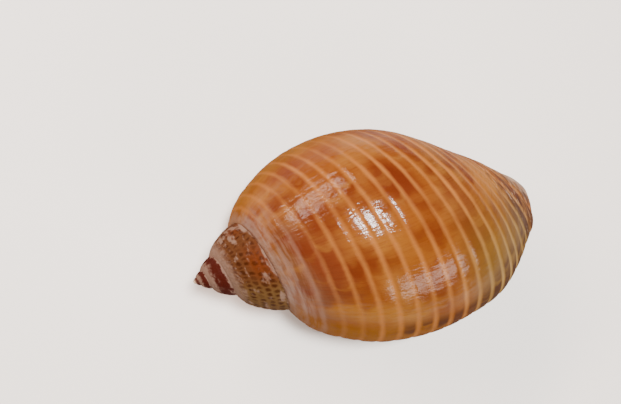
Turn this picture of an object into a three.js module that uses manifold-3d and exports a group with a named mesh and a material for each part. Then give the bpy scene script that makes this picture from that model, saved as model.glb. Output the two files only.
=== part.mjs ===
// A tun shell, a large thin sea snail shell, lying on its opening.
//
// The whole shell is one growing curve: a section through one whorl, in the half plane that holds
// the coil axis, turns about that axis while every size in it grows by the same share per turn.
// The coil axis is +X, from the apex to the front, until the shell is laid down at the end.
// Lengths are millimetres and angles are degrees.
import * as THREE from "three";
import { mergeVertices } from "three/addons/utils/BufferGeometryUtils.js";
import Module from "manifold-3d";

// Coil: angles grow with the shell. At 0 the section points to -Y, at -90 up to +Z, the shell's back.
const GROWTH_PER_TURN = 2.2264;
const LIP_ANGLE = 28;
const WHORLS = 5;
const HOLLOW_WHORLS = 2;

// The outline of a whorl at angle 0, from its seam on the whorl before to the front end by the
// axis, as [distance from the coil axis, distance along it from the apex].
const WHORL_OUTLINE = [
  [18.7, 25],
  [26.6, 30],
  [33.1, 38],
  [39.6, 50],
  [43.5, 65],
  [44, 80],
  [40.7, 95],
  [34, 107],
  [26.6, 117],
  [20.7, 125],
  [16.3, 128.8],
  [11.3, 130.6],
  [6.3, 131.3],
  [2.5, 130.6],
];
const RIBS_END = 9; // the point of WHORL_OUTLINE where the siphon's canal begins
const WALL = 1.4;
const INNER_POINTS = 12; // along the inside of the wall
const INNER_FRONT = 12.3; // between points of WHORL_OUTLINE, where the inside meets the pillar
const SEAM_CORNER = 41; // between a whorl's wall and the whorl that it is seamed to
const SEAM_TUCK = 0.1; // how much further the wall reaches into the whorl that it is seamed to

// The last whorl is a little fuller in front than its growth alone makes it.
const FRONT_SWELL = { share: 0.07, along: [77.5, 115], angle: [-100, -10] };

// Ribs: broad and flat, with a narrow groove between each two, counted from the seam.
const GROOVES = 19;
const FIRST_GROOVE = 7.2; // along the outline, from the seam
const GROOVE_PITCH = 6.3;
const PITCH_LOSS = 0.02; // the pitch narrows by twice this from each groove to the next
const GROOVE_WIDTH = 2.0;
const GROOVE_DEPTH = 0.45;
const RIBBED_TURN = 405; // back from the lip, with every groove; older whorls keep those that show
const SPIRE_GROOVES = 6;
const PLAIN_POINTS = 4; // along the rest of the ribs of an older whorl
const GROOVED_WHORLS = 3; // counted from the lip, those with any grooves

// The lip stands near LIP_ANGLE along the ribs and falls back in front, for the siphon's notch.
// Each entry is [distance along the coil axis at angle 0, angle of the edge].
const LIP_EDGE = [
  [25, LIP_ANGLE],
  [95, LIP_ANGLE - 2],
  [107, 20],
  [117, 2],
  [125, -40],
  [128.8, -50],
  [131.3, -70],
];

// The pillar on the coil axis, round which the whorls turn: [distance from the apex, radius].
const PILLAR = [
  [1, 0],
  [40, 1.9],
  [75, 3.7],
  [88, 4.4],
  [97, 4.3],
  [103, 3.4],
  [107, 2.2],
  [109.5, 0],
];
const PILLAR_SIDES = 20;

// The filled first whorls also hold a corner inside the whorl before, which closes their seam, and
// an edge in the heart of the pillar. Each is [distance from the coil axis, distance along it].
const SEAM_HEART = [16.7, 26];
const PILLAR_HEART = [0.8, 40];
const APEX_BULB = { radius: 0.9, sides: 12, rings: 8 };

// Angles: the steps of the sweep, from the last whorl to the first ones, and the part of the older
// hollow whorls that is swept as one piece.
const STEP = { body: 13.5, hollow: 18, spire: 22.5, first: 36 };
const OLDEST_HOLLOW = 165;
const HALF_TURN = 180;

// How the shell lies on its opening, and how much its contacts are worn flat.
const LAY = { roll: -1.1, pitch: 5.6 };
const WORN_FLAT = 0.3;
const GROUND = { side: 400, thickness: 10 }; // the block that cuts the contacts flat

const SHELL_COLOUR = "#b8641c";

const wasm = await Module();
wasm.setup();

const growth = (degrees) => Math.pow(GROWTH_PER_TURN, degrees / 360);
const smooth = THREE.MathUtils.smoothstep;

/** A closed surface as a manifold-3d solid. */
function solidOf(geometry) {
  const plain = geometry.clone();
  plain.deleteAttribute("normal");
  plain.deleteAttribute("uv");
  const merged = mergeVertices(plain, 1e-4);
  return new wasm.Manifold(
    new wasm.Mesh({
      numProp: 3,
      vertProperties: merged.attributes.position.array,
      triVerts: new Uint32Array(merged.index.array),
    }),
  );
}

/** The point of a section at a radius from the coil axis and a distance along it, turned and grown. */
function onShell(radius, along, degrees) {
  const size = growth(degrees);
  const angle = THREE.MathUtils.degToRad(degrees);
  const fuller =
    smooth(along, ...FRONT_SWELL.along) * smooth(degrees, ...FRONT_SWELL.angle);
  const out = radius * size * (1 + FRONT_SWELL.share * fuller);
  return [along * size, -out * Math.cos(angle), -out * Math.sin(angle)];
}

// The outline as a curve measured by arc length, with the length at which the ribs end.
const outline = new THREE.SplineCurve(
  WHORL_OUTLINE.map(([radius, along]) => new THREE.Vector2(radius, along)),
);
outline.arcLengthDivisions = 2000;
const outlineLength = outline.getLength();
const ribbedLength = lengthAt(RIBS_END);

/** Length along the outline at one of its points, or at a place between two. */
function lengthAt(point) {
  const lengths = outline.getLengths();
  const share = point / (WHORL_OUTLINE.length - 1);
  return lengths[Math.round(share * (lengths.length - 1))];
}

/** A point of the outline at a length from the seam, moved inwards by a depth. */
function outlinePoint(length, depth = 0) {
  const share = THREE.MathUtils.clamp(length / outlineLength, 0, 1);
  const point = outline.getPointAt(share);
  const along = outline.getTangentAt(share);
  return [point.x - depth * along.y, point.y + depth * along.x];
}

/** Length from the seam to a groove. */
function grooveAt(index) {
  return FIRST_GROOVE + GROOVE_PITCH * index - PITCH_LOSS * index * index;
}

/** The outer side of a section, seam to front, with its first grooves and plain points after them. */
function outerSide(grooves, plain) {
  const side = [outlinePoint(0), outlinePoint(FIRST_GROOVE / 2)];
  for (let i = 0; i < grooves; i++) {
    const middle = grooveAt(i);
    side.push(outlinePoint(middle - GROOVE_WIDTH / 2));
    side.push(outlinePoint(middle, GROOVE_DEPTH));
    side.push(outlinePoint(middle + GROOVE_WIDTH / 2));
  }
  const last = grooveAt(grooves - 1) + GROOVE_WIDTH / 2;
  for (let i = 1; i <= plain; i++)
    side.push(outlinePoint(last + ((ribbedLength - last) * i) / (plain + 1)));
  side.push(...WHORL_OUTLINE.slice(RIBS_END));
  return side;
}

/** The section of a hollow whorl: a wall from the seam to the front, where it ends inside the pillar. */
function hollowSection(grooves, plain) {
  const olderWall = WALL / GROWTH_PER_TURN;
  const corner = THREE.MathUtils.degToRad(SEAM_CORNER);
  const innerStart =
    (WALL * Math.cos(corner) - olderWall / 2) / Math.sin(corner);
  const innerEnd = lengthAt(INNER_FRONT);
  const [seamRadius, seamAlong] = outlinePoint(0, olderWall / 2);
  const outer = [[seamRadius - SEAM_TUCK, seamAlong], ...outerSide(grooves, plain)];
  const inner = [];
  for (let i = 0; i <= INNER_POINTS; i++) {
    const length = THREE.MathUtils.lerp(innerEnd, innerStart, i / INNER_POINTS);
    inner.push(outlinePoint(length, WALL));
  }
  return [...outer, ...inner];
}

/** Angle of the growing edge for a point of the wall, by its distance along the coil axis. */
function lipAngle(along) {
  const after = LIP_EDGE.findIndex(([at]) => at >= along);
  if (after < 1) return after === 0 ? LIP_ANGLE : LIP_EDGE.at(-1)[1];
  const [[from, before], [to, next]] = LIP_EDGE.slice(after - 1, after + 1);
  return THREE.MathUtils.mapLinear(along, from, to, before, next);
}

/** Sweeps a closed section from one angle to another, or to each point's own end angle. */
function sweep(section, from, to, step, ends = null) {
  const shape = section.map(([radius, along]) => new THREE.Vector2(radius, along));
  const turn = THREE.ShapeUtils.isClockWise(shape) ? -1 : 1;
  const steps = Math.max(1, Math.round((to - from) / step));
  const position = [];
  for (let i = 0; i <= steps; i++)
    section.forEach(([radius, along], j) => {
      const end = ends ? ends[j] : to;
      position.push(
        ...onShell(radius, along, THREE.MathUtils.lerp(from, end, i / steps)),
      );
    });
  const index = [];
  const count = section.length;
  const face = (a, b, c) => index.push(...(turn > 0 ? [a, b, c] : [a, c, b]));
  for (let i = 0; i < steps; i++)
    for (let j = 0; j < count; j++) {
      const k = (j + 1) % count;
      const [a, b] = [i * count + j, i * count + k];
      face(a, a + count, b);
      face(b, a + count, b + count);
    }
  for (const [a, b, c] of THREE.ShapeUtils.triangulateShape(shape, [])) {
    face(a, b, c);
    face(steps * count + a, steps * count + c, steps * count + b);
  }
  const geometry = new THREE.BufferGeometry();
  geometry.setAttribute(
    "position",
    new THREE.Float32BufferAttribute(position, 3),
  );
  geometry.setIndex(index);
  return solidOf(geometry);
}

/** The hollow whorls: thin walls round the space where the animal lives. */
function hollowWhorls() {
  const ribbed = hollowSection(GROOVES, 0);
  const plain = hollowSection(SPIRE_GROOVES, PLAIN_POINTS);
  const ends = ribbed.map(([, along]) => lipAngle(along));
  const third = RIBBED_TURN / 3;
  const oldest = LIP_ANGLE - 360 * HOLLOW_WHORLS;
  const middle = oldest + OLDEST_HOLLOW;
  return [
    sweep(ribbed, LIP_ANGLE - third, LIP_ANGLE, STEP.body, ends),
    sweep(ribbed, LIP_ANGLE - 2 * third, LIP_ANGLE - third, STEP.body),
    sweep(ribbed, LIP_ANGLE - 3 * third, LIP_ANGLE - 2 * third, STEP.body),
    sweep(plain, middle, LIP_ANGLE - 3 * third, STEP.hollow),
    sweep(plain, oldest, middle, STEP.hollow),
  ];
}

/** The first whorls, too narrow to be worth hollowing, with the bulb that the shell began as. */
function spire() {
  const parts = [];
  const filled = (side) => [SEAM_HEART, ...side, PILLAR_HEART];
  const grooved = filled(outerSide(SPIRE_GROOVES, PLAIN_POINTS));
  const plain = filled(WHORL_OUTLINE);
  const oldest = LIP_ANGLE - 360 * WHORLS;
  const newest = LIP_ANGLE - 360 * HOLLOW_WHORLS;
  for (let end = newest; end > oldest; end -= HALF_TURN) {
    const isFirst = end <= LIP_ANGLE - 360 * GROOVED_WHORLS;
    const section = isFirst ? plain : grooved;
    const step = isFirst ? STEP.first : STEP.spire;
    parts.push(sweep(section, end - HALF_TURN, end, step));
  }
  const bulb = new THREE.SphereGeometry(
    APEX_BULB.radius,
    APEX_BULB.sides,
    APEX_BULB.rings,
  );
  bulb.translate(APEX_BULB.radius, 0, 0);
  parts.push(solidOf(bulb));
  return parts;
}

/** The pillar, turned on the coil axis. */
function pillar() {
  const profile = PILLAR.map(([along, radius]) => new THREE.Vector2(radius, along));
  const turned = new THREE.LatheGeometry(profile, PILLAR_SIDES);
  turned.rotateZ(-Math.PI / 2);
  return solidOf(turned);
}

/** A manifold-3d solid as a three.js geometry. */
function geometryOf(solid) {
  const { vertProperties, triVerts } = solid.getMesh();
  const geometry = new THREE.BufferGeometry();
  geometry.setAttribute(
    "position",
    new THREE.BufferAttribute(vertProperties, 3),
  );
  geometry.setIndex(new THREE.BufferAttribute(triVerts, 1));
  return geometry;
}

/** The biggest closed surface of a solid, without closed pockets and the slivers that cuts leave. */
function largest(solid) {
  return solid
    .decompose()
    .reduce((best, body) => (body.volume() > best.volume() ? body : best));
}

/** Lays the shell on its opening, worn flat at z = 0, with its middle over the origin. */
function laidDown(solid) {
  const geometry = geometryOf(solid);
  geometry.rotateX(THREE.MathUtils.degToRad(LAY.roll));
  geometry.rotateY(THREE.MathUtils.degToRad(LAY.pitch));
  geometry.computeBoundingBox();
  const lowest = geometry.boundingBox.min.z;
  geometry.translate(0, 0, -lowest - WORN_FLAT);
  const ground = new THREE.BoxGeometry(GROUND.side, GROUND.side, GROUND.thickness);
  ground.translate(0, 0, -GROUND.thickness / 2);
  const worn = geometryOf(
    largest(solidOf(geometry).subtract(solidOf(ground))),
  );
  worn.computeBoundingBox();
  const middle = worn.boundingBox.getCenter(new THREE.Vector3());
  worn.translate(-middle.x, -middle.y, 0);
  return worn;
}

const pieces = [...hollowWhorls(), ...spire(), pillar()];
const whole = largest(pieces.reduce((sum, piece) => sum.add(piece)));

const shell = new THREE.Mesh(
  laidDown(whole),
  new THREE.MeshStandardMaterial({
    color: SHELL_COLOUR,
    roughness: 0.3,
    metalness: 0,
  }),
);
shell.name = "tun_shell";

const tunShell = new THREE.Group();
tunShell.add(shell);

export default tunShell;
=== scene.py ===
"""The fine form and the finish of a tun shell, a large thin sea snail shell lying on its opening.

The shell is one growing curve: the outline of a whorl turns about the coil axis while every size in it swells
by the same share per turn. Until the shell is laid down the coil axis is +X, from the apex to the front.
At angle 0 the outline points to -Y, and at -90 up to +Z, the shell's back. Sizes are millimetres and degrees
in the classes, and metres in Blender.
"""

import logging
import math
from dataclasses import dataclass
from enum import Enum
from typing import Any, Callable, Optional, Union

import bpy
import numpy as np
from mathutils import Matrix, Vector


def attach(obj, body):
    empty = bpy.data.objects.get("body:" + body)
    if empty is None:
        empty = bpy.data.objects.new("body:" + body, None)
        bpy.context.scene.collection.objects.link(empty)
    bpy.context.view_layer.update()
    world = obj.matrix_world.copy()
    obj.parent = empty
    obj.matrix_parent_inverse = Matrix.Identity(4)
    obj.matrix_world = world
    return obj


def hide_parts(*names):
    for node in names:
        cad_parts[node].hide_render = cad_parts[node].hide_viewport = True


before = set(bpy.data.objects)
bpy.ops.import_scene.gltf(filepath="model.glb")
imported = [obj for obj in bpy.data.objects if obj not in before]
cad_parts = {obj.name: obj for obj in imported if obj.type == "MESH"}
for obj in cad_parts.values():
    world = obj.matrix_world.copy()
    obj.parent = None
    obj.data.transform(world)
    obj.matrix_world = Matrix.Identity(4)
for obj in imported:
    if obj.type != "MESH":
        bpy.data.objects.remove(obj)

log = logging.getLogger("tun_shell")

MM = 0.001
CAD_NODE = "tun_shell"
BODY = "root"

Paint = tuple[float, float, float, float]
Number = Union[float, "Value"]
Band = tuple[float, float]  # where a soft edge is 0, and where it is 1
Hump = tuple[float, float]  # the middle of a soft hump, and how far it reaches
Socket = bpy.types.NodeSocket
Thing = bpy.types.Object


def paint(code: str) -> Paint:
    """Turns a colour written as screen hex into the linear colour that shaders use.

    Args:
        code: The colour, such as "#b8641c".

    Returns:
        Red, green, blue and an alpha of 1.
    """
    channels = [int(code[i : i + 2], 16) / 255 for i in (1, 3, 5)]
    linear = [c / 12.92 if c <= 0.04045 else ((c + 0.055) / 1.055) ** 2.4 for c in channels]
    return (linear[0], linear[1], linear[2], 1.0)


def show(name: str, data: Any) -> Thing:
    """Adds an object with some data to the scene.

    Args:
        name: The object's name.
        data: Its mesh, curve, lamp or camera.

    Returns:
        The object.
    """
    made = bpy.data.objects.new(name, data)
    bpy.context.scene.collection.objects.link(made)
    return made


class Mark(Enum):
    """What the swept mesh stores at its points, for the finish to follow."""

    AGE = "age"
    ANGLE = "angle"
    RIB = "rib"
    SIDE = "side"


def operator(operation: str, reflected: bool = False) -> Callable[["Value", Number], "Value"]:
    """Makes the method of a Value for one of Python's operators.

    Args:
        operation: The Math node's operation.
        reflected: Whether the other number stands on the left, as in 1 - mask.

    Returns:
        The method.
    """

    def work(value: "Value", other: Number) -> "Value":
        """Adds the Math node."""
        first, second = (other, value) if reflected else (value, other)
        return value.graph.math(operation, first, second)

    return work


class Value:
    """A number that a node tree works out, on which Python's own arithmetic can be used."""

    def __init__(self, graph: "Graph", socket: Socket) -> None:
        """Keeps the tree that the number belongs to, and the socket that gives it."""
        self.graph = graph
        self.socket = socket

    __add__ = operator("ADD")
    __radd__ = operator("ADD", reflected=True)
    __sub__ = operator("SUBTRACT")
    __rsub__ = operator("SUBTRACT", reflected=True)
    __mul__ = operator("MULTIPLY")
    __rmul__ = operator("MULTIPLY", reflected=True)
    __truediv__ = operator("DIVIDE")
    __rtruediv__ = operator("DIVIDE", reflected=True)


class Graph:
    """A node tree, shader or geometry, that is written as expressions."""

    def __init__(self, tree: bpy.types.NodeTree) -> None:
        """Keeps the tree that the nodes are added to."""
        self.tree = tree

    def add(
        self,
        kind: str,
        settings: Optional[dict[str, Any]] = None,
        sockets: Optional[dict[Union[int, str], Any]] = None,
    ) -> bpy.types.Node:
        """Adds a node.

        Args:
            kind: The node's type, such as "ShaderNodeMath".
            settings: Properties that are set first, such as a Math node's operation.
            sockets: Input sockets by name or number, each with a value or something to link.

        Returns:
            The node.
        """
        node = self.tree.nodes.new(kind)
        for name, value in (settings or {}).items():
            setattr(node, name, value)
        for name, value in (sockets or {}).items():
            socket = node.inputs[name]
            if isinstance(value, Value):
                self.tree.links.new(value.socket, socket)
            elif isinstance(value, Socket):
                self.tree.links.new(value, socket)
            else:
                socket.default_value = value
        return node

    def value(self, node: bpy.types.Node, output: Union[int, str] = 0) -> Value:
        """Gives one output of a node as a number."""
        return Value(self, node.outputs[output])

    def math(self, operation: str, *numbers: Number) -> Value:
        """Adds a Math node for an operation on numbers."""
        return self.value(self.add("ShaderNodeMath", {"operation": operation}, dict(enumerate(numbers))))

    def smooth(self, number: Number, low: Number, high: Number, steep: bool = False) -> Value:
        """Rises smoothly from 0 at low to 1 at high, or falls where low is the greater.

        Args:
            number: The number that is looked up.
            low: Where the result is 0.
            high: Where the result is 1.
            steep: Whether the middle of the rise is steeper and its ends are softer.

        Returns:
            A number from 0 to 1.
        """
        if not steep and low > high:
            return 1.0 - self.smooth(number, high, low)
        settings = {"interpolation_type": "SMOOTHERSTEP" if steep else "SMOOTHSTEP"}
        sockets = {"Value": number, "From Min": low, "From Max": high}
        return self.value(self.add("ShaderNodeMapRange", settings, sockets))

    def bell(self, number: Number, middle: float, reach: float) -> Value:
        """Is 1 at the middle and falls smoothly to 0 at a reach to either side of it."""
        return self.smooth(self.math("ABSOLUTE", number - middle), reach, 0.0)

    def vector(self, x: Number, y: Number, z: Number) -> Socket:
        """Joins three numbers into a vector."""
        return self.add("ShaderNodeCombineXYZ", None, {0: x, 1: y, 2: z}).outputs[0]

    def parts(self, vector: Any) -> tuple[Value, Value, Value]:
        """Parts a vector into its three numbers."""
        node = self.add("ShaderNodeSeparateXYZ", None, {0: vector})
        return self.value(node, 0), self.value(node, 1), self.value(node, 2)

    def noise(self, place: Any, scale: float = 1.0, detail: float = 2.0, roughness: float = 0.5) -> Value:
        """Reads smooth noise.

        Args:
            place: The vector at which it is read.
            scale: Cells per unit.
            detail: Octaves after the first.
            roughness: How strong each octave is beside the one before.

        Returns:
            A number about 0.5, mostly from 0.25 to 0.75.
        """
        sockets = {"Vector": place, "Scale": scale, "Detail": detail, "Roughness": roughness}
        return self.value(self.add("ShaderNodeTexNoise", None, sockets))

    def mix(self, share: Number, first: Any, second: Any) -> Socket:
        """Mixes two colours, and gives the first where the share is 0.

        Args:
            share: How much of the second colour there is.
            first: A colour to link, or one written as screen hex.
            second: The other colour.

        Returns:
            The colour.
        """
        settings = {"data_type": "RGBA", "clamp_factor": True}
        first, second = (paint(colour) if isinstance(colour, str) else colour for colour in (first, second))
        return self.add("ShaderNodeMix", settings, {0: share, 6: first, 7: second}).outputs[2]

    def mark(self, mark: Mark) -> Value:
        """Reads a number that the swept mesh stores."""
        return self.value(self.add("ShaderNodeAttribute", {"attribute_name": mark.value}), "Fac")


@dataclass(frozen=True)
class Lay:
    """How the shell lies on its opening, with its lowest points worn flat on the ground."""

    roll: float = -1.1
    pitch: float = 5.6
    middle_x: float = 58.356
    middle_y: float = -7.306
    rise: float = 28.256

    def matrix(self) -> Matrix:
        """Gives the move from the coil's own frame to the part's frame, in metres.

        Returns:
            The move as a matrix.
        """
        shift = Matrix.Translation(Vector((-self.middle_x, -self.middle_y, self.rise)) * MM)
        pitch = Matrix.Rotation(math.radians(self.pitch), 4, "Y")
        return shift @ pitch @ Matrix.Rotation(math.radians(self.roll), 4, "X")


@dataclass(frozen=True)
class Coil:
    """The growing curve that all of the shell follows."""

    growth_per_turn: float = 2.2264
    lip_angle: float = 28.0
    turns: float = 5.6
    ribbed_turn: float = 405.0
    front_swell: float = 0.07
    swell_along: Band = (77.5, 115.0)
    swell_angle: Band = (-100.0, -10.0)
    # Distance from the coil axis, distance along it, and the angle at which the lip stands there.
    outline: tuple[tuple[float, float, float], ...] = (
        (18.7, 25, 28), (26.6, 30, 28), (33.1, 38, 28), (39.6, 50, 27.5), (43.5, 65, 27),
        (44, 80, 26.5), (40.7, 95, 26), (34, 107, 20), (26.6, 117, 2), (20.7, 125, -40),
        (16.3, 128.8, -50), (11.3, 130.6, -60), (6.3, 131.3, -68), (2.5, 130.6, -72),
    )
    angle_shrink: float = 0.0001  # the lip's angle is the outline's third coordinate, made very small
    outline_steps: int = 24
    handle_share: float = 1 / 6  # a knot's handles, as a share of the run between its neighbours

    def outline_curve(self) -> Thing:
        """Makes the outline as a smooth curve through its points, for the sweep to sample.

        Returns:
            A curve object, in millimetres.
        """
        points = [Vector((r, a, lip * self.angle_shrink)) for r, a, lip in self.outline]
        data = bpy.data.curves.new("whorl_outline", "CURVE")
        data.dimensions = "3D"
        data.resolution_u = self.outline_steps
        spline = data.splines.new("BEZIER")
        spline.bezier_points.add(len(points) - 1)
        for i, knot in enumerate(spline.bezier_points):
            reach = (points[min(i + 1, len(points) - 1)] - points[max(i - 1, 0)]) * self.handle_share
            knot.co = points[i]
            knot.handle_left = points[i] - reach
            knot.handle_right = points[i] + reach
        return show("whorl_outline", data)


@dataclass(frozen=True)
class Ribs:
    """The broad flat ribs and the narrow grooves between them, counted from the seam."""

    grooves: int = 19
    first_groove: float = 7.2
    groove_pitch: float = 6.3
    pitch_loss: float = 0.02
    groove_depth: float = 0.2
    groove_reach: float = 0.22  # of the pitch, to either side
    groove_floor: float = 0.02  # of the pitch, to either side
    rib_crown: float = 0.04
    scallop: float = 0.5  # degrees by which the ribs stand forward at the lip
    scallop_run: float = 14.0  # degrees before the lip in which they begin to
    first_edge: Band = (-0.8, -0.2)  # in ribs from the first groove
    last_edge: Band = (-0.8, -0.1)  # in ribs from the last groove


@dataclass(frozen=True)
class Growth:
    """How unevenly the shell grew: broad waves in its surface, and ridges where its growth halted."""

    unevenness: float = 0.35
    seed: float = 4.0
    wave_angle: float = 14.0
    wave_length: float = 20.0
    wave_share: float = 1.6
    halt_angle: float = 3.2
    halt_length: float = 60.0
    halt_share: float = 0.5
    halt_detail: float = 3.0
    halt_seed: float = 7.0  # added to the seed


class Sweep:
    """Builds the Geometry Nodes tree that sweeps a whorl's wall along the coil."""

    KINDS = {
        float: "NodeSocketFloat",
        int: "NodeSocketInt",
        Vector: "NodeSocketVector",
        Thing: "NodeSocketObject",
        bpy.types.Material: "NodeSocketMaterial",
    }

    def __init__(self, coil: Coil, ribs: Ribs, values: dict[str, Any]) -> None:
        """Makes the tree.

        Args:
            coil: The curve that is followed.
            ribs: The ribs across it.
            values: What the tree's inputs are set to, by name.
        """
        self.coil = coil
        self.ribs = ribs
        self.values = values
        self.tree = bpy.data.node_groups.new("whorl_sweep", "GeometryNodeTree")
        self.graph = Graph(self.tree)
        for name, value in values.items():
            self.tree.interface.new_socket(name=name, in_out="INPUT", socket_type=self.KINDS[type(value)])
        self.tree.interface.new_socket(name="Shell", in_out="OUTPUT", socket_type="NodeSocketGeometry")
        given = self.graph.add("NodeGroupInput")
        self.given = {name: self.graph.value(given, name) for name in values}
        self._build()

    def _build(self) -> None:
        """Adds the nodes: a grid, of rows along the coil and columns round the wall, that is put in place."""
        g = self.graph
        round_wall = self.given["Columns"] * 2.0 + 1.0
        rows = self.given["Old Rows"] + self.given["New Rows"] + self.given["Edge Rows"] + 1.0
        grid = g.add("GeometryNodeMeshGrid", None, {"Vertices X": rows, "Vertices Y": round_wall})
        index = g.value(g.add("GeometryNodeInputIndex"))
        row = g.math("FLOOR", (index + 0.5) / round_wall)
        length, side = self._round_the_wall(index - row * round_wall)
        age, edge_cosine, edge_sine = self._along_the_coil(row)

        outline = g.add("GeometryNodeObjectInfo", None, {"Object": self.given["Outline"]})
        sample = g.add(
            "GeometryNodeSampleCurve",
            {"mode": "LENGTH", "use_all_curves": False},
            {"Curves": outline.outputs["Geometry"], "Length": length},
        )
        out_there, along_there, lip_there = g.parts(sample.outputs["Position"])
        out_run, along_run, _ = g.parts(sample.outputs["Tangent"])
        lip = lip_there / self.coil.angle_shrink

        rib = self._rib(length)
        inner = self.given["Inner Relief"]
        relief = self._relief(rib, age, length, edge_cosine) * (inner + (1.0 - inner) * side)
        near_seam = g.smooth(length / self.given["Seam Run"], 1.0, 0.0)
        half = self.given["Wall"] / 2.0 * (1.0 - near_seam * self.given["Seam Thinning"])
        depth = half * (1.0 - (side * 2.0 - 1.0) * edge_cosine) + self.given["Seam Tuck"] * near_seam
        inwards = depth - relief
        radius = out_there - along_run * inwards
        along = along_there + out_run * inwards

        lip_angle = self.given["Lip Angle"]
        before_lip = (lip_angle - age) / self.given["Scallop Run"]
        scallop = g.math("COSINE", rib * (2 * math.pi)) * g.smooth(before_lip, 1.0, 0.0)
        roll_on = edge_sine * half / g.math("MAXIMUM", radius, self.given["Least Radius"]) * (180 / math.pi)
        angle = age + lip - lip_angle + roll_on - scallop * self.given["Scallop"]

        first = g.math("LESS_THAN", row, 0.5)
        radius = radius + (self.given["Start Radius"] - radius) * first
        along = along + (self.given["Start Along"] - along) * first
        angle = angle + (self.given["Old Angle"] - angle) * first

        sockets = {"Geometry": grid.outputs["Mesh"], "Position": self._wind(radius, along, angle)}
        shell = g.add("GeometryNodeSetPosition", None, sockets).outputs[0]
        for mark, number in zip(Mark, (age - lip_angle, angle, rib, side)):
            sockets = {"Geometry": shell, "Name": mark.value, "Value": number}
            shell = g.add("GeometryNodeStoreNamedAttribute", None, sockets).outputs[0]
        self._finish(shell)

    def _round_the_wall(self, column: Value) -> tuple[Value, Value]:
        """Leads the columns out along the outline on the outer side, and back on the inner one.

        Args:
            column: The point's column, of which the last one lies on the first.

        Returns:
            Length along the outline, and a side that is 1 outside and 0 inside.
        """
        g = self.graph
        columns = self.given["Columns"]
        closing = g.math("GREATER_THAN", column, columns * 2.0 - 0.5)
        inner = g.math("GREATER_THAN", column, columns - 0.5) * (1.0 - closing)
        there = column * (1.0 - closing)
        share = there / (columns - 1.0)
        share_back = (columns * 2.0 - 1.0 - there) / (columns - 1.0)
        length = self.given["Outline Length"] * (share * (1.0 - inner) + share_back * inner)
        return length, 1.0 - inner

    def _along_the_coil(self, row: Value) -> tuple[Value, Value, Value]:
        """Steps coarsely through the old whorls, finely through the last, and then over the lip's round edge.

        Args:
            row: The point's row.

        Returns:
            The coil angle, and the cosine and sine of the turn over the lip's edge.
        """
        g = self.graph
        old_rows = self.given["Old Rows"]
        new_rows = self.given["New Rows"]
        old = g.math("MINIMUM", row, old_rows) * self.given["Old Step"]
        new = g.math("MINIMUM", g.math("MAXIMUM", row - old_rows, 0.0), new_rows) * self.given["New Step"]
        edge = g.math("MAXIMUM", row - old_rows - new_rows, 0.0) / self.given["Edge Rows"] * (math.pi / 2)
        return self.given["Old Angle"] + old + new, g.math("COSINE", edge), g.math("SINE", edge)

    def _rib(self, length: Value) -> Value:
        """Counts ribs along the outline, each of them narrower than the last by the same amount.

        Args:
            length: Length along the outline.

        Returns:
            Ribs counted from the seam.
        """
        pitch = self.given["Groove Pitch"]
        loss = self.given["Pitch Loss"]
        root = self.graph.math("SQRT", pitch * pitch - loss * 4.0 * (length - self.given["First Groove"]))
        return (pitch - root) / (loss * 2.0)

    def _relief(self, rib: Value, age: Value, length: Value, edge: Value) -> Value:
        """Works out how far the surface stands out from the plain outline.

        Args:
            rib: Ribs counted from the seam.
            age: Angle along the coil.
            length: Length along the outline.
            edge: 1 on the wall, falling to 0 over the lip's rounded edge.

        Returns:
            The distance, in the outline's millimetres.
        """
        g = self.graph
        seed = self.given["Seed"]
        near = g.math("ABSOLUTE", rib - g.math("ROUND", rib))
        groove = g.smooth(near, self.given["Groove Reach"], self.given["Groove Floor"], steep=True)
        flat = 1.0 - near * 2.0
        crown = self.given["Rib Crown"] * (1.0 - flat * flat * flat)
        past_last = g.smooth(rib - self.given["Grooves"], *self.ribs.last_edge)
        ribbed = g.smooth(rib, *self.ribs.first_edge) * (1.0 - past_last)
        waves_at = g.vector(age / self.given["Wave Angle"], length / self.given["Wave Length"], seed)
        waves = g.noise(waves_at) - 0.5
        halt_seed = seed + self.given["Halt Seed"]
        halts_at = g.vector(age / self.given["Halt Angle"], length / self.given["Halt Length"], halt_seed)
        halts = g.noise(halts_at, detail=self.given["Halt Detail"]) - 0.5
        rough = waves * self.given["Wave Share"] + halts * self.given["Halt Share"]
        ribs = (crown - self.given["Groove Depth"] * groove) * ribbed
        return (ribs + self.given["Unevenness"] * rough) * edge

    def _wind(self, radius: Value, along: Value, angle: Value) -> Socket:
        """Winds a point of the outline about the coil axis.

        Args:
            radius: Distance from the axis.
            along: Distance along it.
            angle: Degrees about it.

        Returns:
            The point's position in metres.
        """
        g = self.graph
        size = g.math("POWER", self.given["Growth Per Turn"], angle / 360.0)
        in_front = g.smooth(along, *self.coil.swell_along) * g.smooth(angle, *self.coil.swell_angle)
        out = radius * size * (1.0 + self.given["Front Swell"] * in_front) * MM
        radians = angle * (math.pi / 180)
        across, up = (out * g.math(turn, radians) * -1.0 for turn in ("COSINE", "SINE"))
        return g.vector(along * size * MM, across, up)

    def _finish(self, shell: Any) -> None:
        """Closes the mesh, lays it down, wears its lowest points flat and gives it its finish.

        Args:
            shell: The mesh as it was wound.
        """
        g = self.graph
        x, y, z = g.parts(g.add("GeometryNodeInputPosition").outputs[0])
        turned = g.vector(self.given["Roll"], self.given["Pitch"], 0.0)
        steps = (
            ("GeometryNodeMergeByDistance", {"Distance": self.given["Join"]}),
            ("GeometryNodeTransform", {"Rotation": turned, "Translation": self.given["Place"]}),
            ("GeometryNodeSetPosition", {"Position": g.vector(x, y, g.math("MAXIMUM", z, 0.0))}),
            ("GeometryNodeSetShadeSmooth", {"Shade Smooth": True}),
            ("GeometryNodeRealizeInstances", {}),
            ("GeometryNodeSetMaterial", {"Material": self.given["Finish"]}),
        )
        for kind, sockets in steps:
            shell = g.add(kind, None, {"Geometry": shell, **sockets}).outputs[0]
        g.add("NodeGroupOutput", None, {"Shell": shell})

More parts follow.
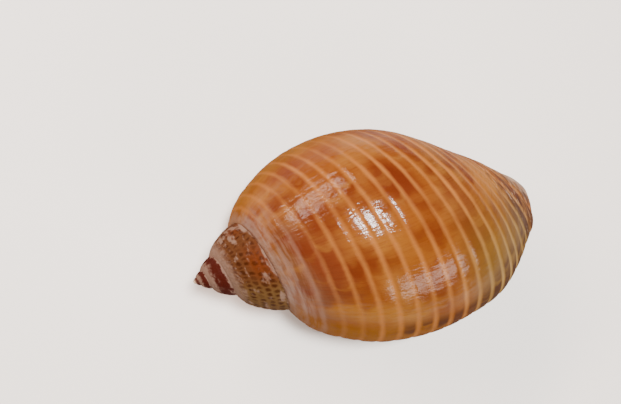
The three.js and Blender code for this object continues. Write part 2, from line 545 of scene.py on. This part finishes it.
    def bake(self, name: str) -> Thing:
        """Runs the tree and keeps its result as a plain mesh.

        Args:
            name: The piece's name.

        Returns:
            The piece, with no modifier left on it.
        """
        holder = show("sweep_holder", bpy.data.meshes.new("sweep_holder"))
        modifier = holder.modifiers.new("sweep", "NODES")
        modifier.node_group = self.tree
        keys = {s.name: s.identifier for s in self.tree.interface.items_tree if s.in_out == "INPUT"}
        for label, value in self.values.items():
            modifier[keys[label]] = value
        bpy.context.view_layer.update()
        evaluated = holder.evaluated_get(bpy.context.evaluated_depsgraph_get())
        mesh = bpy.data.meshes.new_from_object(evaluated)
        mesh.name = name
        holder.modifiers.remove(modifier)
        bpy.data.objects.remove(holder)
        return show(name, mesh)


@dataclass(frozen=True)
class Grain:
    """Smooth noise whose cells are drawn out along the coil or across the ribs."""

    length: float  # degrees in a cell
    per_rib: float  # cells in a rib
    seed: float = 0.0
    detail: float = 2.0
    roughness: float = 0.5
    slip: float = 0.0  # cells by which a rib lies behind the one before, for a grain of its own in each rib

    def at(self, g: Graph, along: Value, across: Value) -> Value:
        """Reads the noise at degrees along the coil and a count of ribs, as a number about 0.5."""
        spot = g.vector(along / self.length + across * self.slip, across * self.per_rib, self.seed)
        return g.noise(spot, detail=self.detail, roughness=self.roughness)

    def read(self, here: "Here") -> Value:
        """Reads the noise at a point of the shell.

        Args:
            here: The point.

        Returns:
            A number about 0.5.
        """
        if self.slip:
            return self.at(here.graph, here.bowed, here.strip)
        return self.at(here.graph, here.age, here.rib)


class Here:
    """A point of the shell, by what the sweep stores of it."""

    TURN = (-360.0, 0.0)
    BOW = 14.0
    SWAY = Grain(6.0, 1.1, 33.0)
    SWAY_REACH = 8.0

    def __init__(self, g: Graph) -> None:
        """Reads the marks: age is 0 at the lip and less further back, and ribs are counted from the seam.

        Args:
            g: The material's tree.
        """
        self.graph = g
        self.age, self.angle, self.rib, self.side = (g.mark(mark) for mark in Mark)
        self.turned = g.math("WRAP", self.angle, *self.TURN)  # the angle within one turn
        self.strip = g.math("FLOOR", self.rib)  # one number for each rib
        self.near = g.math("ABSOLUTE", self.rib - g.math("ROUND", self.rib))  # ribs from the nearest groove
        middle = 0.5 - self.near
        sway = self.SWAY.read(self) - 0.5
        self.bowed = self.age + middle * middle * self.BOW + sway * self.SWAY_REACH  # bowed within each rib


@dataclass(frozen=True)
class Zone:
    """A region of the shell with soft edges, each given by the angle or by the rib."""

    angle: Optional[Band] = None
    rib: Optional[Band] = None
    last_rib: Optional[Band] = None

    def share(self, here: Here) -> Value:
        """Gives 1 inside the region and 0 outside it."""
        edges = ((here.angle, self.angle), (here.rib, self.rib), (here.rib, self.last_rib))
        return math.prod(here.graph.smooth(number, *band) for number, band in edges if band)


OLIVE_ZONE = Zone((-92.0, -42.0), (8.0, 11.5), (18.0, 16.0))


class Layer:
    """A part of the finish."""

    def lay(self, here: Here, under: Any) -> Socket:
        """Lays the part over the ones before it.

        Args:
            here: The point.
            under: The colour so far.

        Returns:
            The colour.
        """
        raise NotImplementedError


@dataclass(frozen=True)
class Marking(Layer):
    """A colour that shows where a grain is strong."""

    colour: str
    grain: Grain
    edge: Band
    strength: float = 1.0

    def share(self, here: Here) -> Value:
        """Gives how much of the colour shows at a point."""
        return here.graph.smooth(self.grain.read(here), *self.edge) * self.strength

    def lay(self, here: Here, under: Any, within: Number = 1.0) -> Socket:
        """Lays the colour over another, as far as a share from 0 to 1 lets it."""
        return here.graph.mix(self.share(here) * within, under, self.colour)


@dataclass(frozen=True)
class Patch:
    """A soft patch of colour on the last whorl, placed by angle and rib."""

    colour: str
    angle: float
    rib: float
    wide: float
    high: float
    strength: float = 0.8


@dataclass(frozen=True)
class Patches(Layer):
    """The largest dark and light areas, with edges that drift. Two of the light ones are painted reflection:
    the one by the seam wholly, the golden one low on the near flank in part.
    """

    drift: Grain = Grain(10.0, 0.6, 13.0)
    drift_along: float = 1.2
    drift_across: float = 0.8
    patch_edge: Band = (1.1, 0.3)
    patches: tuple[Patch, ...] = (
        Patch("#50301f", -72, 0.8, 52, 3.0, 0.75),
        Patch("#501c0a", -106, 8.0, 16, 1.6, 0.9),
        Patch("#501c0a", -101, 3.5, 12, 1.2, 0.7),
        Patch("#54220a", -64, 10.5, 8, 2.2, 0.7),
        Patch("#58230e", -82, 2.2, 32, 1.6),
        Patch("#5a2206", -143, 3.4, 8, 1.8, 0.7),
        Patch("#582812", -82, 11.2, 30, 1.6),
        Patch("#714010", -74, 7.0, 22, 3.0, 0.6),
        Patch("#66461a", -172, 4.5, 24, 7.0),
        Patch("#94601e", -92, 15.5, 28, 2.6, 0.6),
        Patch("#4d2f2d", -66, 17.0, 24, 1.2, 0.6),
        # partly the golden colour low on the near flank, partly a painted reflection
        Patch("#84571e", -42, 5.0, 9, 5.0, 0.6),
        # painted reflection: lighter by the seam, where a milky reflection of the far light spreads
        Patch("#86592f", -121, 0.8, 9, 2.2, 0.6),
        Patch("#5e3514", -106, 12.6, 20, 2.0, 0.6),
    )

    def lay(self, here: Here, under: Any) -> Socket:
        """Lays the patches one after another.

        Args:
            here: The point.
            under: The colour so far.

        Returns:
            The colour.
        """
        g = here.graph
        drift = self.drift.read(here) - 0.5
        for spot in self.patches:
            across = (here.angle - spot.angle) / spot.wide + drift * self.drift_along
            up = (here.rib - spot.rib) / spot.high + drift * self.drift_across
            reach = g.math("SQRT", across * across + up * up)
            under = g.mix(g.smooth(reach, *self.patch_edge) * spot.strength, under, spot.colour)
        return under


@dataclass(frozen=True)
class Flames(Layer):
    """The rust flames between the grooves, gathered in washes."""

    colour: str = "#511d08"
    grain: Grain = Grain(15.0, 1.7, 11.0, slip=0.62)
    wash: Grain = Grain(24.0, 0.35, 21.0)
    share: float = 0.55
    edge: Band = (0.5, 0.72)
    strength: float = 0.85

    def lay(self, here: Here, under: Any) -> Socket:
        """Lays the flames."""
        flame = (self.grain.read(here) + self.wash.read(here)) * self.share
        return here.graph.mix(here.graph.smooth(flame, *self.edge) * self.strength, under, self.colour)


@dataclass(frozen=True)
class StainsAndLowShade(Layer):
    """The olive before the lip, and a darker golden brown low on the near and the far side, partly the
    shell's own colour and partly painted shade against the pale floor's bounce light.
    """

    olive: str = "#5d441a"
    # partly painted shade: a darker golden brown for the lower flanks, set against the pale floor's bounce
    # light
    honey: str = "#6e4208"
    near_side: Zone = Zone((-50.0, -15.0), (10.0, 7.0))
    far_side: Zone = Zone((-138.0, -165.0), (14.0, 10.0))
    far_share: float = 0.7
    strength: float = 0.85

    def lay(self, here: Here, under: Any) -> Socket:
        """Lays the olive, and the darker golden brown of the lower flanks that is partly painted shade.

        Args:
            here: The point.
            under: The colour so far.

        Returns:
            The colour.
        """
        g = here.graph
        under = g.mix(OLIVE_ZONE.share(here) * self.strength, under, self.olive)
        # painted shade in part: the lower near and far flanks are made darker
        honey = g.math("MAXIMUM", self.near_side.share(here), self.far_side.share(here) * self.far_share)
        return g.mix(honey * self.strength, under, self.honey)


@dataclass(frozen=True)
class Lines(Layer):
    """The pale lines in the grooves, cream over the olive and lilac by the seam."""

    colour: str = "#8f592a"
    cream: str = "#8c7240"
    lilac: str = "#7c5d4d"
    cream_share: float = 0.8
    lilac_zone: Zone = Zone((-130.0, -100.0), (2.4, 0.8))
    ribbed: Zone = Zone(None, (-0.7, -0.2), (19.4, 18.6))
    waver: Grain = Grain(9.0, 1.5, 51.0)
    least_width: float = 0.07  # of a rib, to either side
    waver_width: float = 0.12
    edge: Band = (1.9, 0.0)  # in widths
    slope: Zone = Zone((-78.0, -96.0), (9.5, 12.5))
    slope_width: float = 0.35
    near_seam: Band = (4.5, 2.5)
    far_side: Band = (-135.0, -155.0)
    far_loss: float = 0.4
    back_rib: Hump = (7.6, 3.0)
    back_angle: Hump = (-88.0, 34.0)
    back_loss: float = 0.3
    fade: Grain = Grain(40.0, 0.4, 57.0)
    fade_edge: Band = (0.35, 0.65)
    strengths: tuple[float, float, float, float] = (0.2, 0.4, 0.45, 0.25)  # least, waver, fade, slope

    def lay(self, here: Here, under: Any) -> Socket:
        """Lays the lines.

        Args:
            here: The point.
            under: The colour so far.

        Returns:
            The colour.
        """
        g = here.graph
        waver = self.waver.read(here)
        slope = self.slope.share(here)
        width = (self.least_width + self.waver_width * waver) * (1.0 + self.slope_width * slope)
        line = g.smooth(here.near / width, *self.edge)
        tint = g.mix(OLIVE_ZONE.share(here) * self.cream_share, self.colour, self.cream)
        tint = g.mix(self.lilac_zone.share(here), tint, self.lilac)
        far = g.math("MAXIMUM", g.smooth(here.rib, *self.near_seam), g.smooth(here.angle, *self.far_side))
        back = g.bell(here.rib, *self.back_rib) * g.bell(here.angle, *self.back_angle)
        shown = self.ribbed.share(here) * (1.0 - self.far_loss * far) * (1.0 - self.back_loss * back)
        fade = g.smooth(self.fade.read(here), *self.fade_edge)
        least, by_waver, by_fade, by_slope = self.strengths
        strength = least + by_waver * waver + by_fade * fade + by_slope * slope
        return g.mix(line * shown * strength, under, tint)


@dataclass(frozen=True)
class DarkLip(Layer):
    """The umber blotches that the ribs carry along the lip and at the front."""

    blotches: Marking = Marking("#34190e", Grain(11.0, 3.37, 61.0, slip=0.62), (0.33, 0.53), 0.85)
    margin: Band = (-38.0, -25.0)
    margin_rib: Band = (3.5, 6.0)
    earlier_rib: Band = (9.0, 13.0)
    earlier_by: float = 14.0
    front: Zone = Zone((-84.0, -54.0), (14.0, 16.5))
    front_share: float = 0.9
    off_groove: Band = (0.08, 0.28)

    def lay(self, here: Here, under: Any) -> Socket:
        """Lays the blotches.

        Args:
            here: The point.
            under: The colour so far.

        Returns:
            The colour.
        """
        g = here.graph
        early = g.smooth(here.rib, *self.earlier_rib) * self.earlier_by
        margin = g.smooth(here.angle + early, *self.margin) * g.smooth(here.rib, *self.margin_rib)
        within = g.math("MAXIMUM", margin, self.front.share(here) * self.front_share)
        return self.blotches.lay(here, under, within * g.smooth(here.near, *self.off_groove))


@dataclass(frozen=True)
class Wear(Layer):
    """The worn edges of the last whorl: lilac veins by the seam, a bleached and speckled front rim."""

    ragged: Grain = Grain(8.0, 1.6, 71.0, 4.0, 0.6)
    veins: Marking = Marking("#7c5d4d", Grain(20.0, 3.2, 75.0, 3.0, 0.6), (0.4, 0.65), 0.6)
    veined: Zone = Zone((-155.0, -120.0), (1.8, -0.5))
    seam: str = "#745c4e"
    seam_edge: Band = (-0.1, -0.9)
    seam_ragged: float = 2.0
    seam_strength: float = 0.5
    rim: Zone = Zone((-112.0, -84.0), (15.4, 17.0))
    dark_specks: Marking = Marking("#34190e", Grain(6.0, 2.2, 79.0, 3.0, 0.6), (0.5, 0.6), 0.7)
    pale_specks: Marking = Marking("#a78d73", Grain(6.0, 2.2, 79.0, 3.0, 0.6), (0.42, 0.34), 0.45)
    canal_edge: Band = (18.0, 20.0)
    canal_ragged: float = 4.0
    canal_strength: float = 0.6

    def lay(self, here: Here, under: Any) -> Socket:
        """Lays the wear.

        Args:
            here: The point.
            under: The colour so far.

        Returns:
            The colour.
        """
        g = here.graph
        ragged = self.ragged.read(here) - 0.5
        under = self.veins.lay(here, under, self.veined.share(here))
        seam = g.smooth(here.rib + ragged * self.seam_ragged, *self.seam_edge) * self.seam_strength
        rim = self.rim.share(here)
        under = self.dark_specks.lay(here, g.mix(seam, under, self.seam), rim)
        canal = g.smooth(here.rib + ragged * self.canal_ragged, *self.canal_edge) * self.canal_strength
        bare = g.math("MAXIMUM", canal, self.pale_specks.share(here) * rim)
        return g.mix(bare, under, self.pale_specks.colour)


@dataclass(frozen=True)
class Spire(Layer):
    """The older whorls: rows of small spots on the one before the last, worn dark red further back."""

    start: Band = (-335.0, -395.0)
    tan: str = "#482a16"
    olive: str = "#543b1f"
    olive_side: Band = (-75.0, -45.0)
    glow: str = "#52220a"
    glow_rib: Band = (1.8, 3.6)
    glow_back: Hump = (-88.0, 38.0)
    glow_far: Hump = (-148.0, 24.0)
    glow_far_share: float = 0.7
    glow_strength: float = 0.8
    spot: str = "#2c1004"
    spot_spacing: float = 7.0
    stagger: float = 0.5
    shake: Grain = Grain(7.0, 1.1, 15.0)
    shake_along: float = 1.2
    shake_across: float = 0.6
    spot_shape: Hump = (0.5, 0.6)  # in a spot's cell
    spot_edge: Band = (0.0, 0.85)
    stray: Grain = Grain(1 / 0.7, 1.9, 5.0, 1.0)
    stray_edge: Band = (0.2, 0.6)
    spot_strength: float = 0.85
    glow_on_spots: float = 0.2
    red: str = "#36110a"
    older: Band = (-690.0, -760.0)
    worn: str = "#745c4e"
    worn_strength: float = 0.7
    cloud: Grain = Grain(16.0, 0.9, 9.0, 4.0, 0.55)
    cloud_edge: Band = (0.54, 0.7)
    veil: Band = (-120.0, -155.0)
    veil_share: float = 0.12
    patchy: Grain = Grain(30.0, 0.35, 19.0, 3.0, 0.6)
    patchy_edge: Band = (0.54, 0.8)
    ragged: float = 4.0
    seam_behind: Band = (1.1, -0.6)
    seam_before: Band = (4.9, 5.6)
    seam_before_shift: float = 0.5
    tip: str = "#a78d73"
    tip_edge: Band = (-1720.0, -1840.0)

    def lay(self, here: Here, under: Any) -> Socket:
        """Lays the spire's own colours behind its start.

        Args:
            here: The point.
            under: The colour so far.

        Returns:
            The colour.
        """
        g = here.graph
        far = g.bell(here.turned, *self.glow_far) * self.glow_far_share
        glow = g.smooth(here.rib, *self.glow_rib) * (g.bell(here.turned, *self.glow_back) + far)
        ground = g.mix(g.smooth(here.turned, *self.olive_side), self.tan, self.olive)
        ground = g.mix(glow * self.glow_strength, ground, self.glow)
        spots = self._spots(here) * (self.spot_strength - glow * self.glow_on_spots)
        colour = g.mix(spots, ground, self.spot)
        older = g.smooth(here.age, *self.older)
        colour = self._wear(here, older, g.mix(older, colour, self.red))
        return g.mix(g.smooth(here.age, *self.start), under, colour)

    def _spots(self, here: Here) -> Value:
        """Gives the rows of spots, one to a rib, shaken out of line and here and there left out.

        Args:
            here: The point.

        Returns:
            1 in a spot and 0 between them.
        """
        g = here.graph
        strip = here.strip
        shake = self.shake.read(here) - 0.5
        count = here.age / self.spot_spacing + g.math("PINGPONG", strip, 1.0) * self.stagger
        count = count + shake * self.shake_along
        step = g.math("FLOOR", count)
        across = here.rib - strip + shake * self.shake_across
        spot = g.bell(count - step, *self.spot_shape) * g.bell(across, *self.spot_shape)
        stray = self.stray.at(g, step, strip)
        return g.smooth(spot, *self.spot_edge) * g.smooth(stray, *self.stray_edge)

    def _wear(self, here: Here, older: Value, colour: Any) -> Socket:
        """Wears a colour pale in patches, along the seams and at the tip.

        Args:
            here: The point.
            older: 1 on the first whorls and 0 on the one before the last.
            colour: The colour that is worn.

        Returns:
            The colour.
        """
        g = here.graph
        cloud = self.cloud.read(here)
        veil = g.smooth(here.turned, *self.veil) * (1.0 - older) * self.veil_share
        worn = g.smooth(cloud + veil, *self.cloud_edge) * (1.0 - older)
        worn = worn + g.smooth(self.patchy.read(here), *self.patchy_edge) * older
        colour = g.mix(worn * self.worn_strength, colour, self.worn)
        rib = here.rib + (cloud - 0.5) * self.ragged
        behind = g.smooth(rib - older, *self.seam_behind)
        before = g.smooth(rib + older * self.seam_before_shift, *self.seam_before)
        seam = g.math("MAXIMUM", behind, before)
        colour = g.mix(seam * self.worn_strength, colour, self.worn)
        return g.mix(g.smooth(here.age, *self.tip_edge), colour, self.tip)


@dataclass(frozen=True)
class Inside(Layer):
    """The smooth pale inside, browner towards the lip."""

    base: str = "#cdb490"
    brown: str = "#8e5e30"
    towards_lip: Band = (-60.0, 0.0)
    lip_share: float = 0.5
    cloud: Grain = Grain(30.0, 0.3, 81.0, 3.0)
    cloud_edge: Band = (0.5, 0.7)
    cloud_share: float = 0.3
    covered_age: Band = (-345.0, -362.0)  # where the last whorl lies over the one before
    covered_rib: Band = (5.3, 5.8)

    def lay(self, here: Here, under: Any) -> Socket:
        """Lays the inside's colours on the inner side of the wall, and where a later whorl lies over it.

        Args:
            here: The point.
            under: The colour so far.

        Returns:
            The colour.
        """
        g = here.graph
        cloud = g.smooth(self.cloud.read(here), *self.cloud_edge)
        brown = g.smooth(here.age, *self.towards_lip) * self.lip_share + cloud * self.cloud_share
        covered = g.smooth(here.age, *self.covered_age) * g.smooth(here.rib, *self.covered_rib)
        inside = g.math("MAXIMUM", 1.0 - here.side, covered)
        return g.mix(inside, under, g.mix(brown, self.base, self.brown))


@dataclass(frozen=True)
class Surface:
    """The glaze of the shell and its fine relief."""

    gloss: float = 0.14
    streaks: Grain = Grain(1 / 1.1, 0.35, 0.0, 4.0, 0.6)
    streak_share: float = 0.2
    dull_spire: Band = (-360.0, -420.0)
    spire_share: float = 0.15
    mirror: float = 0.5
    flanks: float = 0.04  # share of the full glaze
    back: float = 0.35
    back_from: Band = (-156.0, -128.0)
    back_to: Band = (-28.0, -48.0)
    front_rib: Band = (9.0, 13.0)
    front_loss: float = 0.7
    growth_lines: Grain = Grain(2.0, 0.7, 1.0, 4.0, 0.55)
    growth_waves: Grain = Grain(4.0, 1.2, 2.0, 3.0)
    pits: Grain = Grain(1.25, 3.0, 3.0, 4.0, 0.7)
    pitted: Band = (-360.0, -450.0)
    heights: tuple[float, float, float] = (0.8, 1.0, 0.7)  # of the lines, the waves and the pits
    bump_strength: float = 0.3
    bump_distance: float = 0.0006

    def roughness(self, here: Here) -> Value:
        """Gives the roughness, streaked along the lines of growth and greater on the spire."""
        streak = (self.streaks.read(here) - 0.5) * self.streak_share
        return self.gloss + streak + here.graph.smooth(here.age, *self.dull_spire) * self.spire_share

    def wetness(self, here: Here) -> Value:
        """Gives the share of the full glaze, which is greatest on the back of the last whorl.

        Args:
            here: The point.

        Returns:
            A share from 0 to 1.
        """
        g = here.graph
        on_back = g.smooth(here.angle, *self.back_from) * g.smooth(here.angle, *self.back_to)
        on_back = on_back * (1.0 - self.front_loss * g.smooth(here.rib, *self.front_rib))
        return self.flanks + on_back * (self.back - self.flanks)

    def normal(self, here: Here) -> Socket:
        """Gives the fine lines of growth across the ribs, and the pits of the spire.

        Args:
            here: The point.

        Returns:
            The bumpy normal.
        """
        g = here.graph
        lines, waves, pits = self.heights
        height = self.growth_lines.read(here) * lines + self.growth_waves.read(here) * waves
        height = height + self.pits.read(here) * g.smooth(here.age, *self.pitted) * pits
        sockets = {"Strength": self.bump_strength, "Distance": self.bump_distance, "Height": height}
        return g.add("ShaderNodeBump", None, sockets).outputs[0]


def start_material(name: str) -> tuple[bpy.types.Material, Graph]:
    """Makes a material with nothing in its tree, and gives it with the tree to write expressions in.

    Args:
        name: The material's name.

    Returns:
        The material, and its tree to write expressions in.
    """
    material = bpy.data.materials.new(name)
    material.use_nodes = True
    material.node_tree.nodes.clear()
    return material, Graph(material.node_tree)


@dataclass(frozen=True)
class ShellFinish:
    """The glossy amber shell, from its ground up."""

    ground: str = "#6b3810"
    layers: tuple[Layer, ...] = (
        Marking("#7b4d1e", Grain(32.0, 0.3, 3.0, 3.0), (0.42, 0.7)),
        Patches(),
        Flames(),
        Marking("#7b4d1e", Grain(12.0, 2.3, 31.0, slip=0.38), (0.52, 0.75), 0.7),
        Marking("#511d08", Grain(1 / 0.9, 0.5, 41.0, 4.0, 0.65), (0.45, 0.8), 0.45),
        StainsAndLowShade(),
        Lines(),
        DarkLip(),
        Wear(),
        Spire(),
        Inside(),
    )
    surface: Surface = Surface()

    def make(self) -> bpy.types.Material:
        """Builds the material.

        Returns:
            A material that reads the marks that the sweep stores.
        """
        material, g = start_material("tun_shell_glaze")
        here = Here(g)
        colour: Any = self.ground
        for layer in self.layers:
            colour = layer.lay(here, colour)
        sockets = {
            "Base Color": colour,
            "Roughness": self.surface.roughness(here),
            "Normal": self.surface.normal(here),
        }
        dull, wet = (
            g.add("ShaderNodeBsdfPrincipled", None, {**sockets, "Specular IOR Level": mirror}).outputs[0]
            for mirror in (0.0, self.surface.mirror)
        )
        shader = g.add("ShaderNodeMixShader", None, {0: self.surface.wetness(here), 1: dull, 2: wet})
        g.add("ShaderNodeOutputMaterial", None, {"Surface": shader.outputs[0]})
        return material


@dataclass(frozen=True)
class LiningFinish:
    """The smooth pale lining of the pillar."""

    base: str = "#d8c3a8"
    shade: str = "#b58c62"
    cloud_scale: float = 70.0
    cloud_edge: Band = (0.4, 0.7)
    detail: float = 3.0
    roughness: float = 0.25
    cloud_roughness: float = 0.2
    coat: float = 0.4
    coat_roughness: float = 0.12
    bump_scale: float = 400.0
    bump_strength: float = 0.2
    bump_distance: float = 0.0003

    def make(self) -> bpy.types.Material:
        """Builds the material.

        Returns:
            The material.
        """
        material, g = start_material("tun_shell_lining")
        spot = g.add("ShaderNodeTexCoord").outputs["Object"]
        cloud = g.noise(spot, self.cloud_scale, self.detail)
        height = g.noise(spot, self.bump_scale, self.detail)
        sockets = {"Strength": self.bump_strength, "Distance": self.bump_distance, "Height": height}
        bump = g.add("ShaderNodeBump", None, sockets)
        sockets = {
            "Base Color": g.mix(g.smooth(cloud, *self.cloud_edge), self.base, self.shade),
            "Roughness": self.roughness + cloud * self.cloud_roughness,
            "Coat Weight": self.coat,
            "Coat Roughness": self.coat_roughness,
            "Normal": bump.outputs[0],
        }
        shader = g.add("ShaderNodeBsdfPrincipled", None, sockets)
        g.add("ShaderNodeOutputMaterial", None, {"Surface": shader.outputs[0]})
        return material


@dataclass(frozen=True)
class Whorls:
    """The wall of the shell, from the first whorl to the lip."""

    coil: Coil
    ribs: Ribs
    growth: Growth
    lay: Lay
    wall: float = 1.4
    seam_tuck: float = 0.35
    seam_run: float = 1.6  # length beside the seam over which the wall thins
    seam_thinning: float = 0.75  # share of its thickness that it loses there
    inner_relief: float = 0.25  # share of the ribs' relief that shows inside
    least_radius: float = 5.0
    start_radius: float = 20.0  # the first row is drawn together in one point, so far from the axis
    start_along: float = 70.0  # and so far along it
    join: float = 1e-6
    columns: int = 150
    old_step: float = 10.0
    new_step: float = 3.0
    edge_rows: int = 4

    def build(self) -> Thing:
        """Sweeps the wall and dresses it.

        Returns:
            The piece.
        """
        outline = self.coil.outline_curve()
        new_rows = round(self.coil.ribbed_turn / self.new_step)
        old_rows = round((360 * self.coil.turns - self.coil.ribbed_turn) / self.old_step)
        values = {
            "Outline": outline,
            "Finish": ShellFinish().make(),
            "Growth Per Turn": self.coil.growth_per_turn,
            "Lip Angle": self.coil.lip_angle,
            "Front Swell": self.coil.front_swell,
            "Outline Length": sum(s.calc_length() for s in outline.data.splines),
            "Old Angle": self.coil.lip_angle - new_rows * self.new_step - old_rows * self.old_step,
            "Old Rows": old_rows,
            "New Rows": new_rows,
            "Roll": math.radians(self.lay.roll),
            "Pitch": math.radians(self.lay.pitch),
            "Place": self.lay.matrix().to_translation(),
        }
        for sizes in (self, self.ribs, self.growth):
            numbers = {name: size for name, size in vars(sizes).items() if isinstance(size, (int, float))}
            values.update({name.replace("_", " ").title(): size for name, size in numbers.items()})
        piece = Sweep(self.coil, self.ribs, values).bake("tun_shell_whorls")
        bpy.data.objects.remove(outline)
        return piece


@dataclass(frozen=True)
class Pillar:
    """The pillar on the coil axis, with the fold that winds down it."""

    lay: Lay
    # Distance from the apex and radius.
    profile: tuple[tuple[float, float], ...] = (
        (1, 0), (20, 1.0), (40, 1.9), (60, 2.9), (75, 3.7), (88, 4.3), (97, 4.2), (103, 3.3),
        (107, 2.1), (109.5, 0),
    )
    sides: int = 48
    rings: int = 90
    fold: float = 0.1
    fold_turns: float = 2.2

    def build(self) -> Thing:
        """Turns the pillar, closed in a point at either end, and dresses it.

        Returns:
            The piece.
        """
        start, end = self.profile[0][0], self.profile[-1][0]
        points = []
        for i in range(1, self.rings):
            along = start + (end - start) * i / self.rings
            for j in range(self.sides):
                turn = 2 * math.pi * j / self.sides
                folded = 1 + self.fold * math.cos(turn - 2 * math.pi * self.fold_turns * i / self.rings)
                radius = np.interp(along, *zip(*self.profile)) * folded
                points.append(Vector((along, -radius * math.cos(turn), -radius * math.sin(turn))) * MM)
        points += [Vector((start, 0, 0)) * MM, Vector((end, 0, 0)) * MM]
        mesh = bpy.data.meshes.new("tun_shell_pillar")
        mesh.from_pydata([self.lay.matrix() @ p for p in points], [], self._faces())
        mesh.shade_smooth()
        mesh.materials.append(LiningFinish().make())
        return show("tun_shell_pillar", mesh)

    def _faces(self) -> list[tuple[int, ...]]:
        """Lists the faces between the rings, and those round the two points at the ends, which come last.

        Returns:
            Each face as the points round it.
        """
        first = (self.rings - 1) * self.sides
        last_ring = (self.rings - 2) * self.sides
        faces: list[tuple[int, ...]] = []
        for j in range(self.sides):
            k = (j + 1) % self.sides
            faces.append((first, k, j))
            faces.append((first + 1, last_ring + j, last_ring + k))
            for low in range(0, last_ring, self.sides):
                high = low + self.sides
                faces.append((low + j, low + k, high + k, high + j))
        return faces


@dataclass(frozen=True)
class Lamp:
    """A soft lamp, placed by its heading and height as seen from a point of the shell."""

    name: str
    heading: float
    height: float
    sides: tuple[float, float]
    power: float
    aim: tuple[float, float, float]
    tint: str = "#ffffff"
    distance: float = 0.8


@dataclass(frozen=True)
class Studio:
    """The floor, the lights and the camera."""

    lay: Lay
    room_colour: str = "#ffffff"
    room_light: float = 0.2
    lamps: tuple[Lamp, ...] = (
        Lamp("overhead", 85, 81, (0.15, 0.15), 16.5, (-8.9, 8.4, 57.8)),
        Lamp("far_window", 119, 33, (0.78, 0.07), 10.5, (-16.0, 20.0, 52.0), "#ffe2d4"),
        Lamp("near_side", -68, 25, (0.6, 0.19), 5.4, (5.0, -12.0, 55.0), "#fff0ec"),
    )
    floor_side: float = 6.0
    floor_colour: str = "#ece6de"
    floor_roughness: float = 0.6
    sensor: float = 36.0
    nearest_seen: float = 0.01
    focal_pixels: float = 600.0
    frame_width: float = 621.0
    frame_height: float = 404.0
    heading: float = 19.531
    tilt: float = 19.116
    apex_pixel: tuple[float, float] = (192.16, 282.60)
    apex_distance: float = 180.06

    def floor(self) -> None:
        """Lays the floor."""
        half = self.floor_side / 2
        mesh = bpy.data.meshes.new("floor")
        corners = [(-half, -half, 0), (half, -half, 0), (half, half, 0), (-half, half, 0)]
        mesh.from_pydata(corners, [], [(0, 1, 2, 3)])
        material, g = start_material("floor_paper")
        sockets = {"Base Color": paint(self.floor_colour), "Roughness": self.floor_roughness}
        shader = g.add("ShaderNodeBsdfPrincipled", None, sockets)
        g.add("ShaderNodeOutputMaterial", None, {"Surface": shader.outputs[0]})
        mesh.materials.append(material)
        made = show("floor", mesh)

    def lights(self) -> None:
        """Hangs the lamps and sets the light of the room."""
        for lamp in self.lamps:
            turn, rise = math.radians(lamp.heading), math.radians(lamp.height)
            level = math.cos(rise)
            away = Vector((math.cos(turn) * level, math.sin(turn) * level, math.sin(rise)))
            data = bpy.data.lights.new(lamp.name, "AREA")
            data.shape = "RECTANGLE"
            data.size, data.size_y = lamp.sides
            data.energy = lamp.power
            data.color = paint(lamp.tint)[:3]
            made = show(lamp.name, data)
            made.location = Vector(lamp.aim) * MM + away * lamp.distance
            made.rotation_euler = away.to_track_quat("Z", "Y").to_euler()
        world = bpy.data.worlds.new("room")
        world.use_nodes = True
        background = world.node_tree.nodes["Background"]
        background.inputs["Color"].default_value = paint(self.room_colour)
        background.inputs["Strength"].default_value = self.room_light
        bpy.context.scene.world = world

    def camera(self) -> None:
        """Sets up the camera, by where it sees the apex and how far away that is."""
        data = bpy.data.cameras.new("camera")
        data.sensor_width = self.sensor
        data.lens = self.focal_pixels * self.sensor / self.frame_width
        data.clip_start = self.nearest_seen
        made = show("camera", data)
        tilt = Matrix.Rotation(math.radians(-self.tilt), 4, "Y")
        turn = tilt @ Matrix.Rotation(math.radians(-self.heading), 4, "Z")
        right = (self.apex_pixel[0] - self.frame_width / 2) / self.focal_pixels
        down = (self.apex_pixel[1] - self.frame_height / 2) / self.focal_pixels
        seen = Vector((right, -down, -1.0))
        centre = turn.to_3x3() @ seen * (-self.apex_distance * MM)
        made.matrix_world = self.lay.matrix() @ Matrix.Translation(centre) @ turn
        bpy.context.scene.camera = made


def place(piece: Thing) -> None:
    """Fastens a finished piece to the frame in place of the plain solid, and reports it.

    Args:
        piece: The piece.
    """
    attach(piece, BODY)
    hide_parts(CAD_NODE)
    log.info("%s: %d points, %d faces", piece.name, len(piece.data.vertices), len(piece.data.polygons))


def main() -> None:
    """Builds the shell and its studio."""
    logging.basicConfig(level=logging.INFO, format="%(name)s: %(message)s")
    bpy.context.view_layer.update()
    lay = Lay()
    place(Whorls(Coil(), Ribs(), Growth(), lay).build())
    place(Pillar(lay).build())
    studio = Studio(lay)
    studio.floor()
    studio.lights()
    studio.camera()


if __name__ == "__main__":
    main()
